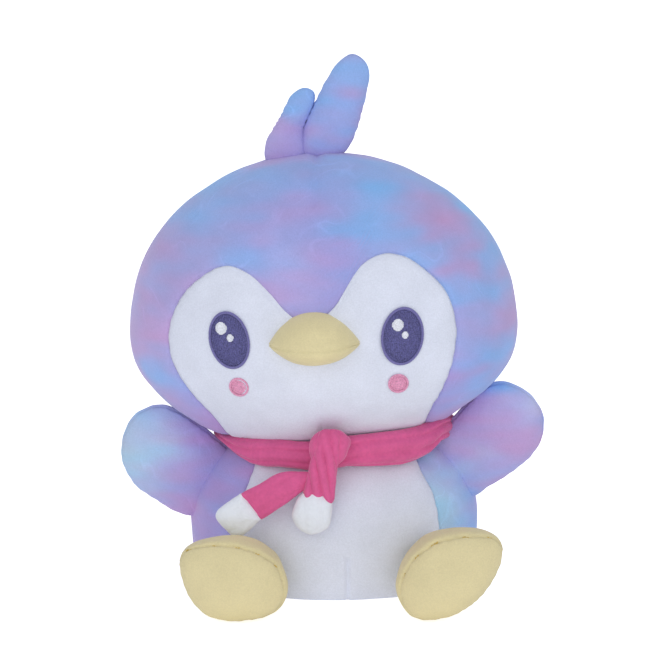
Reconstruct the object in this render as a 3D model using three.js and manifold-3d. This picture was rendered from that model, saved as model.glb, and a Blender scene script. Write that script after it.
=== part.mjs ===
// Plush penguin, sitting, as an assembly of sewn panels, stuffing and embroidery.
// Millimetres, +Z up, the face looks along -Y, +X is the viewer's right.
// The origin is the middle of the flat base, on the surface the toy sits on.
// A stuffed piece is a skin of short-pile fabric, cut along its seams into panels, around a filling.
import * as THREE from 'three';
import { mergeVertices } from 'three/addons/utils/BufferGeometryUtils.js';
import Module from 'manifold-3d';

const wasm = await Module();
wasm.setup();

// ---------------------------------------------------------------- driving dimensions (mm)

const FABRIC = 1.6; // the skin's thickness, pile included
const SEAM = 0.3; // the gap left at a seam and around a filling
const TURN_ROOM = 2; // room beside a small piece that bends at its root
const NOD_ROOM = 6; // room under the head, taken up when it nods
const REACH = 300; // longer than the toy, for cutting blocks

const BODY = { halfWidth: 69.6, halfDepth: 57, above: 52, below: 80, middle: 30 };
const HEAD = { halfWidth: 92.5, halfDepth: 72, above: 80.5, below: 64.5 };
const HEAD_SIDE = -5.5; // the head sits a little towards the viewer's left
const HEAD_ROLL = 1.8; // degrees, the viewer's right side up
const HEAD_YAW = -3; // degrees, the face turned to the viewer's left
// the neck is pressed into both eggs: intoBody and intoHead are how far its middle lies within each
const NECK = { intoBody: 12, intoHead: 10.9, gap: 8, halfWidth: 34, halfDepth: 29, end: 1.6 };

// the white panels' outlines, as seen from the front
const FACE_OUTLINE = [
  [-2, 8], [-12, 14], [-20, 23], [-29, 31], [-40, 34.5], [-52, 29.5], [-62, 20], [-68.5, 5], [-67.5, -10],
  [-60, -25], [-50, -39], [-44, -52], [-40, -66], [44, -66], [48, -52], [53, -37], [58.5, -23], [62.5, -10],
  [64, 4], [60.5, 19], [52, 29.5], [42, 36.5], [32, 38.5], [22, 34], [15.5, 25], [9, 15.5],
];
const BELLY_OUTLINE = [
  [-33, 80], [-38, 60], [-44, 44], [-48, 29], [-47, 14], [-42, -6], [42, -6], [47, 14], [48, 29], [44, 44],
  [38, 60], [33, 80],
];

const EYE = { side: 39.2, height: 1.4, halfWidth: 9.6, halfHeight: 13.2, ring: 1.5 };
const EYE_TILT = { left: 9, right: -6 }; // degrees, the top leaning outwards
const EYE_LIGHTS = {
  left: { large: [-3.5, 5.4, 2.8], small: [0.6, 1.2, 1.7] },
  right: { large: [-1.9, 5.3, 2.7], small: [1.2, 0.6, 1.6] },
};
const CHEEK = { side: 36.4, height: -20.4, radius: 4.6 };
const STITCH = { fill: 0.8, ring: 1.2, light: 0.6 }; // how far the embroidery stands up

const BEAK = { halfWidth: 20.2, above: 15.2, below: 8.4, seam: -1.3, reach: 22, sunk: 6 };

// the tufts' outlines stand on the top of the head, so heights count from there
const TUFTS = {
  large: {
    middle: [8, 17.5],
    halfThick: 7.5,
    outline: [
      [18.6, 45.1], [25, 38.5], [24, 28.5], [21, 18.5], [18.5, 10.5], [12, -1.5], [3, -4.5], [-6, -1.5],
      [-6.1, 11.5], [0, 24.2], [4.8, 33.5], [12, 42],
    ],
  },
  small: {
    middle: [-13, 12.5],
    halfThick: 6,
    outline: [
      [-5.5, 30.1], [-11, 27.5], [-17.2, 17.8], [-21.3, 10.2], [-24, 3.5], [-23, -5.5], [-15, -5.5],
      [-8.6, -1.5], [-7.8, 11.5], [-3.2, 22.5], [-2.6, 28],
    ],
  },
};

const WING = { forward: 10, halfThick: 9.5, room: 3.4 }; // room: beside the root, for the swing
// each wing's outline, measured outwards from the body's side at the root's height
const WINGS = {
  left: {
    rootHeight: 48,
    middle: [17, 58],
    outline: [
      [-5, 56], [0, 64], [9, 72.5], [20, 80], [28.5, 79], [35, 71], [37, 60], [34, 49], [25.5, 40.5],
      [15.5, 34.5], [6, 33], [-1, 42],
    ],
  },
  right: {
    rootHeight: 54,
    middle: [17, 68],
    outline: [
      [-9, 64], [-2, 72], [6, 80.5], [14, 89], [22, 92], [30, 87], [35, 77], [35, 66], [29.5, 57.5],
      [19.5, 50.5], [10.5, 45], [3, 41], [-2, 50],
    ],
  },
};

// forward: how far a foot's seam stands in front of the body; lean: degrees, the toes forward
const FOOT = { forward: 30, sole: 12.5, taper: 1.25, lean: 1, clearance: 0.4 };
// each foot's outline across the toes, and where its upper panel is sewn to the body
const FEET = {
  left: {
    middle: [-46, 19],
    heel: [-35, 15],
    outline: [
      [-69, 25], [-67, 33], [-60, 37], [-50, 38.5], [-41, 37.5], [-33, 34], [-25, 27], [-21.5, 17],
      [-24, 7], [-31, 2], [-41, 0], [-51, 0.5], [-59, 4], [-65.5, 12],
    ],
  },
  right: {
    middle: [51, 21],
    heel: [37, 15],
    outline: [
      [28, 13], [29, 22], [34, 31], [42, 38.5], [51, 42], [62, 42.5], [71, 40.5], [75, 35], [74, 27],
      [70, 18], [64, 10.5], [55, 4], [44, 0], [34, 3],
    ],
  },
};

// the band runs inside the body's edge, a little under the neck's middle
const SCARF = { sideInset: 15.6, frontInset: 7.5, thick: 6, tall: 9.5, underNeck: 4, slope: 0.05 };
const KNOT = { side: -6, overBand: 5, halfWidth: 10, halfDepth: 8, halfHeight: 10.5, forward: 4 };
const TAIL_HALF_THICK = 3.6;
const TAIL_GAP = 1.2; // between a tail and the belly that it rests on
// the tails' outlines are measured from the middle of the knot
const TAILS = {
  left: {
    middle: [-27, -21],
    outline: [
      [-8, -11], [-11, -6], [-21, -7.5], [-37, -16.5], [-45, -22], [-46, -28], [-42, -32.5], [-36, -31.5],
      [-24, -25], [-13, -18],
    ],
    seam: [-33, -22.5],
    along: [-0.87, -0.49],
  },
  middle: {
    middle: [-2, -22],
    outline: [
      [-6, -8], [2, -6.5], [7.5, -8], [6.5, -17], [7.5, -25], [5, -34], [-2, -37], [-9, -33], [-12.5, -26],
      [-8.5, -17],
    ],
    seam: [-2, -18],
    along: [0, -1],
  },
};

// how many faces each soft form has, around and from end to end
const DETAIL = { egg: [24, 12], knot: [14, 8], pillow: [18, 6], beak: [18, 10], band: [28, 8] };
const NECK_SIDES = 20;
const OUTLINE_STEPS = 40;
const EYE_STEPS = 8;

// ---------------------------------------------------------------- places that follow from the dimensions

const neckHeight = BODY.middle + BODY.above - NECK.intoBody;
const headHeight = neckHeight + HEAD.below - NECK.intoHead;
const bandHeight = neckHeight - SCARF.underNeck;
const bandHalfDepth = BODY.halfDepth - SCARF.frontInset;
const bandHalfWidth = BODY.halfWidth - SCARF.sideInset;
const bellyRear = -BODY.halfDepth / 4; // how far back the cuts along a white panel's edge reach
const faceRear = -HEAD.halfDepth / 6;

// ---------------------------------------------------------------- finishes

const finish = (colour, roughness) => new THREE.MeshStandardMaterial({ color: colour, roughness, metalness: 0 });

const FINISH = {
  lavender: finish(0xa9a6dd, 0.9),
  violet: finish(0xb59fd8, 0.9),
  blue: finish(0x96b6e6, 0.9),
  white: finish(0xf1f2f5, 0.9),
  cream: finish(0xf0e3a6, 0.9),
  pink: finish(0xe0709e, 0.9),
  thread: finish(0x5b5a92, 0.6),
  threadDark: finish(0x66609f, 0.6),
  threadWhite: finish(0xffffff, 0.6),
  threadPink: finish(0xe79ab5, 0.6),
  filling: finish(0xf7f7f4, 1),
};

// ---------------------------------------------------------------- solids

// A closed geometry becomes a solid once its corners are shared.
function solidOf(geometry) {
  geometry.deleteAttribute('normal');
  geometry.deleteAttribute('uv');
  const merged = mergeVertices(geometry, 1e-4);
  const vertProperties = Float32Array.from(merged.attributes.position.array);
  const triVerts = Uint32Array.from(merged.index.array);
  return new wasm.Manifold(new wasm.Mesh({ numProp: 3, vertProperties, triVerts }));
}

// A soft solid is a sphere whose every point is moved to where place(point) puts it.
function softSolid(place, around, rings) {
  const ball = new THREE.SphereGeometry(1, around, rings);
  const spot = ball.attributes.position;
  for (let i = 0; i < spot.count; i += 1) {
    const moved = place(new THREE.Vector3().fromBufferAttribute(spot, i));
    spot.setXYZ(i, moved.x, moved.y, moved.z);
  }
  return solidOf(ball);
}

// A block between two corners.
function block(low, high) {
  const size = new THREE.Vector3(...high).sub(new THREE.Vector3(...low));
  const box = new THREE.BoxGeometry(size.x, size.y, size.z);
  box.translate((low[0] + high[0]) / 2, (low[1] + high[1]) / 2, (low[2] + high[2]) / 2);
  return solidOf(box);
}

const above = (z) => block([-REACH, -REACH, z], [REACH, REACH, z + REACH]);
const below = (z) => block([-REACH, -REACH, z - REACH], [REACH, REACH, z]);
const leftOf = (x) => block([x - REACH, -REACH, -REACH], [x, REACH, REACH]);
const rightOf = (x) => block([x, -REACH, -REACH], [x + REACH, REACH, REACH]);
const inFrontOf = (y) => block([-REACH, y - REACH, -REACH], [REACH, y, REACH]);
const behind = (y) => block([-REACH, y, -REACH], [REACH, y + REACH, REACH]);

// A smooth closed curve through the points of an outline, running anticlockwise as seen from the front.
function curveThrough(outline) {
  const clockwise = THREE.ShapeUtils.isClockWise(outline.map(([x, z]) => new THREE.Vector2(x, z)));
  const points = outline.map(([x, z]) => new THREE.Vector3(x, 0, z));
  return new THREE.CatmullRomCurve3(clockwise ? points.reverse() : points, true, 'centripetal');
}

// An outline drawn on the front of the toy, made into a block that runs back to the plane y = rear.
function frontCutter(curve, grow, rear) {
  const points = curve.getPoints(OUTLINE_STEPS).slice(0, OUTLINE_STEPS);
  const corners = points.map((point, i) => {
    const next = points[(i + 1) % OUTLINE_STEPS];
    const previous = points[(i + OUTLINE_STEPS - 1) % OUTLINE_STEPS];
    const along = next.clone().sub(previous).normalize();
    return new THREE.Vector2(point.x + along.z * grow, point.z - along.x * grow);
  });
  const prism = new THREE.ExtrudeGeometry(new THREE.Shape(corners), { depth: REACH, bevelEnabled: false });
  prism.rotateX(Math.PI / 2);
  prism.translate(0, rear, 0);
  return solidOf(prism);
}

// An ellipse on the front of the toy, tilted by so many degrees.
function ellipseCutter(middle, halfWidth, halfHeight, tilt, rear) {
  const shape = new THREE.Shape();
  const turn = THREE.MathUtils.degToRad(tilt);
  shape.absellipse(middle[0], middle[1], halfWidth, halfHeight, 0, 2 * Math.PI, false, turn);
  const settings = { depth: REACH, bevelEnabled: false, curveSegments: EYE_STEPS };
  const prism = new THREE.ExtrudeGeometry(shape, settings);
  prism.rotateX(Math.PI / 2);
  prism.translate(0, rear, 0);
  return solidOf(prism);
}

// ---------------------------------------------------------------- body and head forms

// An egg with its own half height above and below the widest level; grow moves its surface out.
function egg(form, grow, lift = 0) {
  return softSolid((p) => {
    const half = p.y > 0 ? form.above : form.below;
    const x = (form.halfWidth + grow) * p.x;
    const y = -(form.halfDepth + grow) * p.z;
    return new THREE.Vector3(x, y, lift + (half + grow) * p.y);
  }, ...DETAIL.egg);
}

const bodyEgg = (grow) => egg(BODY, grow, BODY.middle);
const headEgg = (grow) => egg(HEAD, grow);

// The head's own frame, which holds the head and places its egg among the other pieces.
function headFrame() {
  const frame = new THREE.Group();
  frame.rotation.order = 'ZYX';
  frame.rotation.z = THREE.MathUtils.degToRad(HEAD_YAW);
  frame.rotation.y = THREE.MathUtils.degToRad(-HEAD_ROLL);
  frame.position.set(HEAD_SIDE, 0, headHeight);
  frame.updateMatrix();
  return frame;
}

const headInPlace = (grow) => headEgg(grow).transform(headFrame().matrix.toArray());

// How far the body's side stands from the middle at a height.
function bodySideAt(height) {
  const half = height > BODY.middle ? BODY.above : BODY.below;
  return BODY.halfWidth * Math.sqrt(1 - ((height - BODY.middle) / half) ** 2);
}

// How far the body's front stands out from the middle, at a point drawn on the front.
function bodyFrontAt([x, z]) {
  const half = z > BODY.middle ? BODY.above : BODY.below;
  const left = 1 - (x / BODY.halfWidth) ** 2 - ((z - BODY.middle) / half) ** 2;
  return BODY.halfDepth * Math.sqrt(Math.max(left, 0));
}

// ---------------------------------------------------------------- meshes

// A single solid becomes a named mesh.
function named(name, solid, material) {
  const mesh = solid.getMesh();
  const geometry = new THREE.BufferGeometry();
  geometry.setAttribute('position', new THREE.BufferAttribute(Float32Array.from(mesh.vertProperties), 3));
  geometry.setIndex(new THREE.BufferAttribute(Uint32Array.from(mesh.triVerts), 1));
  geometry.computeVertexNormals();
  const piece = new THREE.Mesh(geometry, material);
  piece.name = name;
  return piece;
}

const penguin = new THREE.Group();

// ---------------------------------------------------------------- torso

const bodyTop = neckHeight - NECK.gap / 2;
const bodySkin = bodyEgg(0).subtract(bodyEgg(-FABRIC));
const wall = bodySkin.intersect(above(FABRIC + SEAM)).intersect(below(bodyTop));
const bellyCurve = curveThrough(BELLY_OUTLINE);
const backWall = wall.subtract(frontCutter(bellyCurve, SEAM / 2, bellyRear));

penguin.add(
  named('belly_panel', wall.intersect(frontCutter(bellyCurve, -SEAM / 2, bellyRear)), FINISH.white),
  named('back_panel_left', backWall.intersect(leftOf(-SEAM / 2)), FINISH.violet),
  named('back_panel_right', backWall.intersect(rightOf(SEAM / 2)), FINISH.blue),
  named('base_panel', bodyEgg(0).intersect(above(0)).intersect(below(FABRIC)), FINISH.violet),
);
const bodyFilling = bodyEgg(-FABRIC - SEAM).intersect(above(FABRIC + SEAM)).intersect(below(bodyTop));
penguin.add(named('body_filling', bodyFilling, FINISH.filling));

// The neck's stuffing fills the gap between body and head, and gives when the head nods.
const neckHalf = NECK.gap / 2 - NECK.end;
const neck = new THREE.CylinderGeometry(1, 1, 2 * neckHalf, NECK_SIDES);
neck.rotateX(Math.PI / 2);
neck.scale(NECK.halfWidth, NECK.halfDepth, 1);
neck.translate(0, 0, neckHeight);
penguin.add(named('neck_filling', solidOf(neck), FINISH.filling));

// ---------------------------------------------------------------- scarf

// The band is a ring around the neck, squeezed between the shoulders and the head.
function scarfRing(grow) {
  const [thick, tall] = [SCARF.thick + grow, SCARF.tall + grow];
  const [around, across] = DETAIL.band;
  const section = new THREE.Path().absellipse(0, 0, thick, tall, 0, 2 * Math.PI).getPoints(across);
  const profile = section.map((point) => new THREE.Vector2(1 + point.x / REACH, point.y));
  const ring = new THREE.LatheGeometry(profile, around);
  const spot = ring.attributes.position;
  for (let i = 0; i < spot.count; i += 1) {
    const radius = Math.hypot(spot.getX(i), spot.getZ(i));
    const outwards = (radius - 1) * REACH;
    const x = (spot.getX(i) / radius) * (bandHalfWidth + outwards);
    const y = (-spot.getZ(i) / radius) * (bandHalfDepth + outwards);
    spot.setXYZ(i, x, y, bandHeight + SCARF.slope * x + spot.getY(i));
  }
  return solidOf(ring);
}

const knotForward = bandHalfDepth + SCARF.thick + KNOT.forward;
const knotHeight = bandHeight + KNOT.overBand;
const knotAt = (grow) => softSolid((p) => new THREE.Vector3(
  KNOT.side + (KNOT.halfWidth + grow) * p.x,
  -knotForward - (KNOT.halfDepth + grow) * p.z,
  knotHeight + (KNOT.halfHeight + grow) * p.y,
), ...DETAIL.knot);

const underHead = headInPlace(NOD_ROOM);
const knot = knotAt(0).subtract(underHead).subtract(bodyEgg(SEAM));
const band = scarfRing(0).subtract(underHead).subtract(bodyEgg(SEAM)).subtract(knotAt(SEAM));
penguin.add(named('scarf_band', band, FINISH.pink), named('scarf_knot', knot, FINISH.pink));

// ---------------------------------------------------------------- flat stuffed pieces

// A pillow over an outline: front and rear are how far it stands out from the seam's plane.
// taper above 1 draws the rear in towards rearMiddle, as a foot narrows towards its heel.
function pillow(form, grow, front, rear, rearMiddle = form.middle, taper = 1) {
  const curve = curveThrough(form.outline);
  const [middleX, middleZ] = form.middle;
  return softSolid((p) => {
    const around = (Math.atan2(p.z, -p.x) / (2 * Math.PI) + 1) % 1;
    const edge = curve.getPoint(around);
    const reach = Math.hypot(edge.x - middleX, edge.z - middleZ);
    const share = (reach + grow) / reach;
    const out = Math.hypot(p.x, p.z);
    const isRear = p.y < 0;
    const spread = isRear ? out ** taper : out;
    const drawn = isRear ? 1 - spread : 0;
    const x = middleX + (edge.x - middleX) * share * spread + (rearMiddle[0] - form.middle[0]) * drawn;
    const z = middleZ + (edge.z - middleZ) * share * spread + (rearMiddle[1] - form.middle[1]) * drawn;
    const depth = p.y > 0 ? -(front + grow) * p.y : -(rear + grow) * p.y;
    return new THREE.Vector3(x, depth, z);
  }, ...DETAIL.pillow);
}

// Cuts a pillow's skin at its seam plane and adds its two panels and its filling, clear of what is around.
function addStuffed(parent, shape, around, names, materials) {
  const skin = shape(0).subtract(shape(-FABRIC)).subtract(around);
  parent.add(
    named(names[0], skin.intersect(inFrontOf(-SEAM / 2)), materials[0]),
    named(names[1], skin.intersect(behind(SEAM / 2)), materials[1]),
    named(names[2], shape(-FABRIC - SEAM).subtract(around), FINISH.filling),
  );
}

// Moves a cutting solid into the frame of a placed group.
function intoFrame(solid, frame) {
  frame.updateMatrix();
  return solid.transform(frame.matrix.clone().invert().toArray());
}

// ---------------------------------------------------------------- wings

for (const side of ['left', 'right']) {
  const form = WINGS[side];
  const sign = side === 'left' ? -1 : 1;
  const root = bodySideAt(form.rootHeight);
  const outward = ([x, z]) => [sign * (root + x), z];
  const placed = { middle: outward(form.middle), outline: form.outline.map(outward) };
  const holder = new THREE.Group();
  holder.position.y = -WING.forward;
  const taken = bodyEgg(WING.room).add(headInPlace(WING.room)).add(scarfRing(WING.room));
  const around = intoFrame(taken, holder);
  addStuffed(
    holder,
    (grow) => pillow(placed, grow, WING.halfThick, WING.halfThick),
    around,
    [`wing_${side}_front_panel`, `wing_${side}_back_panel`, `wing_${side}_filling`],
    side === 'left' ? [FINISH.blue, FINISH.violet] : [FINISH.violet, FINISH.blue],
  );
  penguin.add(holder);
}

// ---------------------------------------------------------------- feet

const footSeam = BODY.halfDepth + FOOT.forward;

for (const side of ['left', 'right']) {
  const form = FEET[side];
  const upper = footSeam - bodyFrontAt(form.heel); // from the seam back to the body
  const holder = new THREE.Group();
  holder.rotation.x = THREE.MathUtils.degToRad(FOOT.lean);
  holder.position.set(0, -footSeam, FOOT.clearance);
  const around = intoFrame(bodyEgg(TURN_ROOM).add(below(FOOT.clearance)), holder);
  addStuffed(
    holder,
    (grow) => pillow(form, grow, FOOT.sole, upper, form.heel, FOOT.taper),
    around,
    [`foot_${side}_sole`, `foot_${side}_upper`, `foot_${side}_filling`],
    [FINISH.cream, FINISH.cream],
  );
  penguin.add(holder);
}

// ---------------------------------------------------------------- scarf tails

// All that lies more than gap beyond a tail's seam, in the direction along.
function beyondSeam(seam, along, gap) {
  const far = block([0, -REACH, -REACH], [REACH, REACH, REACH]);
  const angle = Math.atan2(along[1], along[0]);
  const turn = new THREE.Matrix4().makeRotationY(-angle);
  const start = [seam[0] + along[0] * gap, 0, seam[1] + along[1] * gap];
  return far.transform(turn.setPosition(...start).toArray());
}

for (const side of ['left', 'middle']) {
  const fromKnot = ([x, z]) => [KNOT.side + x, knotHeight + z];
  const drawn = TAILS[side];
  const form = { middle: fromKnot(drawn.middle), outline: drawn.outline.map(fromKnot) };
  const seam = fromKnot(drawn.seam);
  const holder = new THREE.Group();
  holder.position.y = -(BODY.halfDepth + TAIL_GAP + TAIL_HALF_THICK);
  const around = intoFrame(knotAt(TURN_ROOM).add(bodyEgg(SEAM)).add(scarfRing(SEAM)), holder);
  const strip = pillow(form, 0, TAIL_HALF_THICK, TAIL_HALF_THICK).subtract(around);
  holder.add(
    named(`scarf_tail_${side}`, strip.subtract(beyondSeam(seam, drawn.along, -SEAM / 2)), FINISH.pink),
    named(`scarf_tip_${side}`, strip.intersect(beyondSeam(seam, drawn.along, SEAM / 2)), FINISH.white),
  );
  penguin.add(holder);
}

// ---------------------------------------------------------------- head

const head = headFrame();
penguin.add(head);

const headOpening = neckHeight + NECK.gap / 2 - headHeight;
const headSkin = headEgg(0).subtract(headEgg(-FABRIC)).intersect(above(headOpening));
const faceCurve = curveThrough(FACE_OUTLINE);
const crown = headSkin.subtract(frontCutter(faceCurve, SEAM / 2, faceRear));

head.add(
  named('face_panel', headSkin.intersect(frontCutter(faceCurve, -SEAM / 2, faceRear)), FINISH.white),
  named('crown_panel_left', crown.intersect(leftOf(-SEAM / 2)), FINISH.violet),
  named('crown_panel_right', crown.intersect(rightOf(SEAM / 2)), FINISH.blue),
  named('head_filling', headEgg(-FABRIC - SEAM).intersect(above(headOpening)), FINISH.filling),
);

// ---------------------------------------------------------------- embroidery

// A layer of stitching that lies on the face between two heights above it.
const stitched = (from, to, cutter) => headEgg(to).subtract(headEgg(from)).intersect(cutter);

for (const side of ['left', 'right']) {
  const sign = side === 'left' ? -1 : 1;
  const middle = [sign * EYE.side, EYE.height];
  const oval = (inset) => {
    const [halfWidth, halfHeight] = [EYE.halfWidth - inset, EYE.halfHeight - inset];
    return ellipseCutter(middle, halfWidth, halfHeight, EYE_TILT[side], faceRear);
  };
  const ring = oval(0).subtract(oval(EYE.ring));
  const fillTop = SEAM + STITCH.fill;
  head.add(
    named(`eye_${side}_outline`, stitched(SEAM, SEAM + STITCH.ring, ring), FINISH.threadDark),
    named(`eye_${side}_fill`, stitched(SEAM, fillTop, oval(EYE.ring + SEAM)), FINISH.thread),
  );
  for (const [size, [x, z, radius]] of Object.entries(EYE_LIGHTS[side])) {
    const spot = ellipseCutter([middle[0] + x, middle[1] + z], radius, radius, 0, faceRear);
    const within = spot.intersect(oval(EYE.ring + SEAM));
    const light = stitched(fillTop + SEAM, fillTop + SEAM + STITCH.light, within);
    head.add(named(`eye_${side}_light_${size}`, light, FINISH.threadWhite));
  }
  const cheek = ellipseCutter([sign * CHEEK.side, CHEEK.height], CHEEK.radius, CHEEK.radius, 0, faceRear);
  head.add(named(`cheek_${side}`, stitched(SEAM, SEAM + STITCH.fill, cheek), FINISH.threadPink));
}

// ---------------------------------------------------------------- beak

const beakRoot = HEAD.halfDepth - BEAK.sunk;
const beakAt = (grow) => softSolid((p) => new THREE.Vector3(
  (BEAK.halfWidth + grow) * p.x,
  -beakRoot - (BEAK.reach + grow) * p.z,
  BEAK.seam + ((p.y > 0 ? BEAK.above : BEAK.below) + grow) * p.y,
), ...DETAIL.beak);
const beakSkin = beakAt(0).subtract(beakAt(-FABRIC)).subtract(headEgg(SEAM));

head.add(
  named('beak_upper', beakSkin.intersect(above(BEAK.seam + SEAM / 2)), FINISH.cream),
  named('beak_lower', beakSkin.intersect(below(BEAK.seam - SEAM / 2)), FINISH.cream),
  named('beak_filling', beakAt(-FABRIC - SEAM).subtract(headEgg(SEAM)), FINISH.filling),
);

// ---------------------------------------------------------------- head tufts

for (const size of ['large', 'small']) {
  const fromTop = ([x, z]) => [x, HEAD.above + z];
  const { middle, outline, halfThick } = TUFTS[size];
  const form = { middle: fromTop(middle), outline: outline.map(fromTop) };
  addStuffed(
    head,
    (grow) => pillow(form, grow, halfThick, halfThick),
    headEgg(TURN_ROOM),
    [`tuft_${size}_front_panel`, `tuft_${size}_back_panel`, `tuft_${size}_filling`],
    [FINISH.lavender, FINISH.blue],
  );
}

export default penguin;
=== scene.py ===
# %% [markdown]
# # A sitting plush penguin, sewn and stuffed in Blender
# The toy is a set of fabric panels, sewn inside out, turned, and filled with soft fibre. A plain model
# already fixes where every panel, joint and seam is. This lesson keeps that frame and makes what a hand would
# feel: swelling fabric, sunken seams, short pile, thread that stands up, and a fleece scarf.

# %% Load the frame
import math

import bmesh
import bpy
import numpy as np
from mathutils import Matrix, Vector, noise


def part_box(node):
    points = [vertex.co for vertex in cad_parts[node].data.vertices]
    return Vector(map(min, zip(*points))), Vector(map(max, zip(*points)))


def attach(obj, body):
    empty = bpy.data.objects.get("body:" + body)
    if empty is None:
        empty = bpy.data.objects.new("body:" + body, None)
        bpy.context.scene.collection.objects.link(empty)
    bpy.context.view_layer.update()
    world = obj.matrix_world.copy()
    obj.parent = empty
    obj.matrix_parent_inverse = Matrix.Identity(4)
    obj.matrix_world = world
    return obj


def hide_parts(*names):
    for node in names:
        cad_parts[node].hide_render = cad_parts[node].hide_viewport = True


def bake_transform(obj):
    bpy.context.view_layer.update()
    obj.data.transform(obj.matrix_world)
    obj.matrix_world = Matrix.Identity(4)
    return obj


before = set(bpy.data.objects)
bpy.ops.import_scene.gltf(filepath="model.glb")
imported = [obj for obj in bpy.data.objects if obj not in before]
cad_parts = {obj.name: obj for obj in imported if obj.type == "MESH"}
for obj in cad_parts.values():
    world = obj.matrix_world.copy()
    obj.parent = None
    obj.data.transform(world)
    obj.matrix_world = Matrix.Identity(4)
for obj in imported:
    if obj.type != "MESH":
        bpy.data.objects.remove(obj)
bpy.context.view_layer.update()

MM = 0.001

# %% [markdown]
# ## Where the viewer stands
# A toy like this is looked at from a little above its own eye level and from about a metre away, with a long
# lens that keeps the head from swelling. The camera comes first, so every later choice is seen through it.

# %% The camera
CAMERA_RISE = math.radians(9)
CAMERA_AWAY = 1.05
CAMERA_AIM = Vector((-0.001, 0, 0.1175))
VIEW_WIDTH = 0.3192  # how much of the toy's own plane the view takes in

camera_data = bpy.data.cameras.new("studio_camera")
camera_data.lens = camera_data.sensor_width * CAMERA_AWAY / VIEW_WIDTH
camera = bpy.data.objects.new("studio_camera", camera_data)
bpy.context.scene.collection.objects.link(camera)
camera_back = Vector((0, -math.cos(CAMERA_RISE), math.sin(CAMERA_RISE)))
camera.location = CAMERA_AIM + CAMERA_AWAY * camera_back
camera.rotation_euler = (-camera_back).to_track_quat("-Z", "Y").to_euler()
bpy.context.scene.camera = camera
print("lens", round(camera_data.lens, 1), "mm")

# %% [markdown]
# ## Measures from the frame
# Nothing is placed by eye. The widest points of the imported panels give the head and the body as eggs: an egg
# here has one half height above its widest level and another below it.

# %% Head and body as eggs
def span(*nodes):
    """The lowest and highest corner around several nodes."""
    corners = [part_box(node) for node in nodes]
    low = Vector([min(c[0][i] for c in corners) for i in range(3)])
    high = Vector([max(c[1][i] for c in corners) for i in range(3)])
    return low, high


head_low, head_high = span("crown_panel_left", "crown_panel_right")
_, body_high = span("back_panel_left", "back_panel_right")

HEAD_YAW = math.radians(-3)
HEAD_ROLL = math.radians(1.8)
head_width = (head_high.x - head_low.x) / 2
head_egg = {
    "width": head_width,
    "depth": head_high.y,
    "above": 0.87 * head_width,
    "below": 0.697 * head_width,
}
head_middle = Vector(((head_high.x + head_low.x) / 2, 0, head_high.z - head_egg["above"]))
head_place = (
    Matrix.Translation(head_middle) @ Matrix.Rotation(HEAD_YAW, 4, "Z") @ Matrix.Rotation(-HEAD_ROLL, 4, "Y")
)

BODY_WIDEST = 30 * MM  # the level where the body is widest
body_egg = {"width": body_high.x, "depth": body_high.y, "above": 52 * MM, "below": 105 * MM}
body_place = Matrix.Translation((0, 0, BODY_WIDEST))
neck_level = (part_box("neck_filling")[0].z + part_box("neck_filling")[1].z) / 2
print("head", [round(v / MM, 1) for v in head_egg.values()], "mm")
print("body", [round(v / MM, 1) for v in body_egg.values()], "mm, neck at", round(neck_level / MM, 1))


# %% [markdown]
# ## Points, outlines and noise
# A sewn toy is drawn as flat outlines. A few listed corners are joined by one smooth closed curve.
# The same curve serves for the face, the belly, the wings and the feet. Noise with a fixed seed gives the
# small unevenness that stuffing always has.

# %% Curves through listed points
def smooth_loop(points, steps=12):
    """A closed curve through the points, with so many steps between two of them."""
    p = np.array(points, float)
    before, after, beyond = np.roll(p, 1, 0), np.roll(p, -1, 0), np.roll(p, -2, 0)
    curve = []
    for t in np.linspace(0, 1, steps, endpoint=False):
        curve.append(
            0.5
            * (
                2 * p
                + (after - before) * t
                + (2 * before - 5 * p + 4 * after - beyond) * t**2
                + (3 * p - before - 3 * after + beyond) * t**3
            )
        )
    return np.stack(curve, 1).reshape(-1, p.shape[1])


def lumps(points, size, seed=0.0):
    """Smooth noise from -1 to 1 at each point; size is how wide a lump is, in metres."""
    shift = Vector((seed, 2.3 * seed, 5.1 * seed))
    return np.array([noise.noise(Vector(p) / size + shift) for p in points])


def coordinates(bm):
    return np.array([v.co for v in bm.verts])


def move_to(bm, places):
    for vert, place in zip(bm.verts, places):
        vert.co = place


# %% [markdown]
# ## Tie-dye
# The coloured fabric is dyed in soft clouds that run into each other. A print would need an image file. Real
# dye spreads from where it is dropped, so each drop here is a place, a spread and one of a few dyes. Every
# vertex takes its share of the drops near it, after a push by noise that frays the clouds' edges.

# %% Dyes and where they were dropped
def linear(red, green, blue):
    """A colour as a swatch card gives it, from 0 to 255, turned into light."""
    return [((c / 255 + 0.055) / 1.055) ** 2.4 if c > 10 else c / 255 / 12.92 for c in (red, green, blue)]


DYES = {
    "sky": linear(145, 184, 240),
    "aqua": linear(174, 215, 238),
    "periwinkle": linear(162, 173, 231),
    "violet": linear(174, 162, 222),
    "lilac": linear(190, 173, 224),
    "pinkish": linear(188, 163, 214),
    "frost": linear(188, 205, 240),
}

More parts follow.
